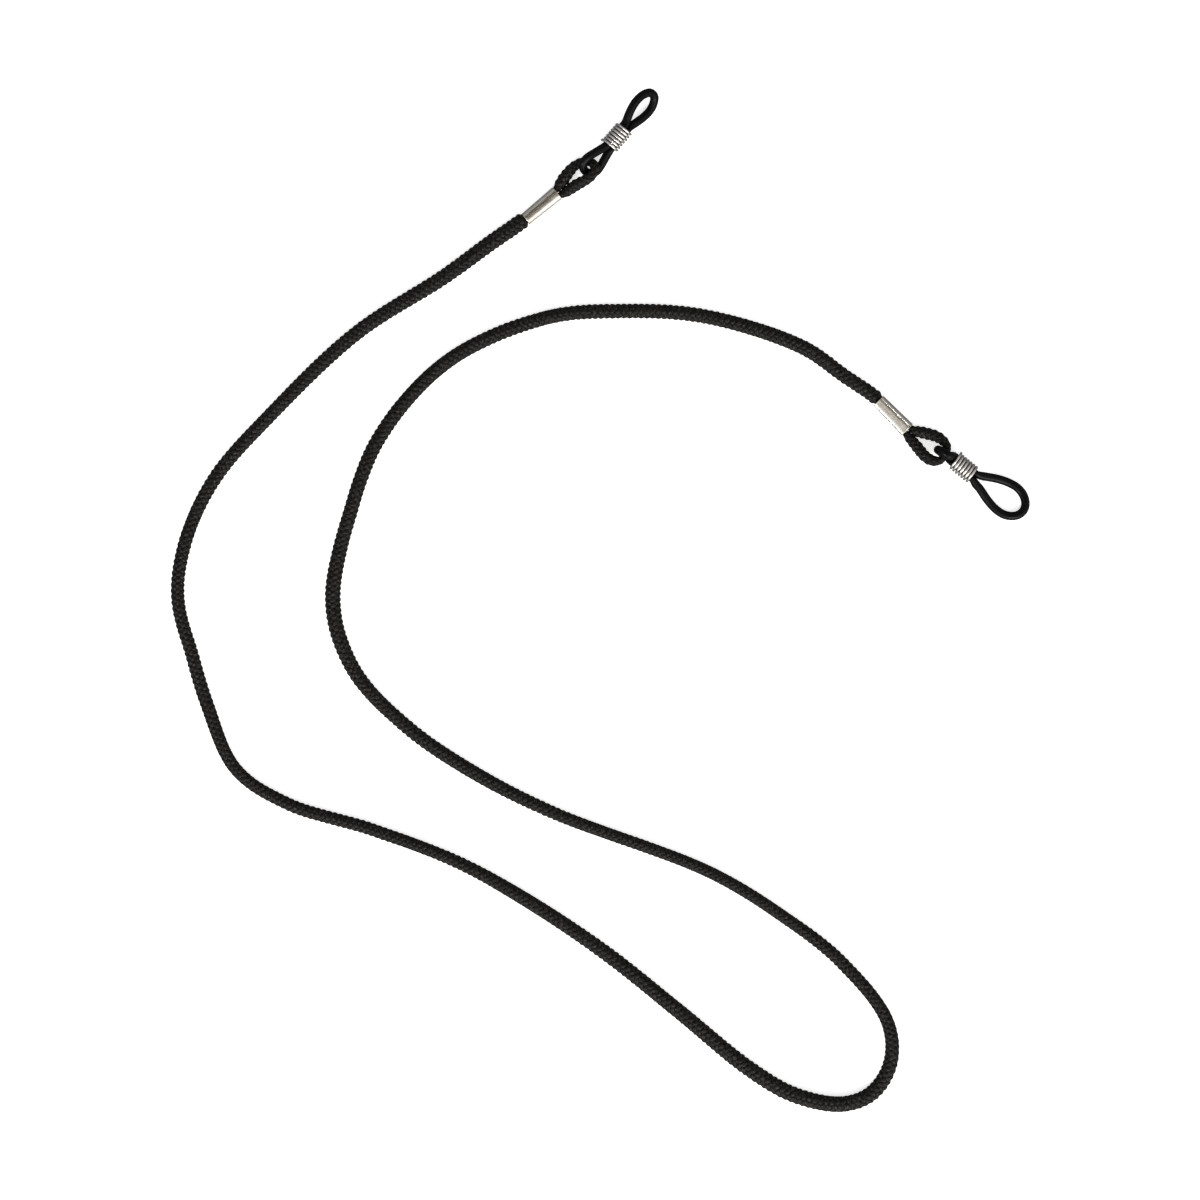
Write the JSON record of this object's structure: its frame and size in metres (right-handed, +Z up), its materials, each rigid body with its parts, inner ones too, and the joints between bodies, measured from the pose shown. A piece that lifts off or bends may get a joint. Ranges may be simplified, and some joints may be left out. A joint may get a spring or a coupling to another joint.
{
  "type": "eyeglass retainer strap",
  "caption": "Braided neck cord with a crimped metal ferrule, a linked rubber temple loop and a sliding wire coil at each end, for holding spectacles.",
  "frame": {"origin": "under the middle of the end fittings' bounding box, on the surface that the strap lies on", "axes": "+Z up from the surface; +X along the longer side of the box round the end fittings, from end a towards end b; +Y across it, towards end a's temple loop"},
  "size_m": [0.193, 0.2294, 0.0058],
  "materials": {
    "braided_cord": "round braid of black synthetic yarn",
    "melted_cord_end": "melted and set",
    "nickel_ferrule": "plated sheet metal, satin to bright",
    "black_rubber": "smooth satin rubber",
    "nickel_wire": "bright drawn wire"
  },
  "bodies": {
    "strap": {"cord_run": "braided_cord", "cord_eye_a": "braided_cord", "cord_eye_b": "braided_cord", "cord_seal_a": "melted_cord_end", "cord_seal_b": "melted_cord_end", "ferrule_a": "nickel_ferrule", "ferrule_b": "nickel_ferrule"},
    "ring_a": {"rubber_ring_a": "black_rubber"},
    "coil_a": {"coil_a": "nickel_wire"},
    "ring_b": {"rubber_ring_b": "black_rubber"},
    "coil_b": {"coil_b": "nickel_wire"}
  },
  "joints": [
    {"name": "ring_a_swing", "type": "hinge", "parent": "strap", "child": "ring_a", "pos_m": [-0.04107, 0.03148, 0.00275], "axis": [0.3759, -0.6133, 0.6947], "range_deg": [0, 50]},
    {"name": "coil_a_slide", "type": "slide", "parent": "ring_a", "child": "coil_a", "axis": [0.6494, 0.7604, 0], "range_m": [-0.002, 0.004], "deforming": ["rubber_ring_a"]},
    {"name": "ring_b_swing", "type": "hinge", "parent": "strap", "child": "ring_b", "pos_m": [0.03816, -0.0338, 0.0029], "axis": [-0.5, -0.866, 0], "range_deg": [0, 90]},
    {"name": "coil_b_slide", "type": "slide", "parent": "ring_b", "child": "coil_b", "axis": [0.7727, -0.6347, 0], "range_m": [0, 0.006], "deforming": ["rubber_ring_b"]}
  ]
}
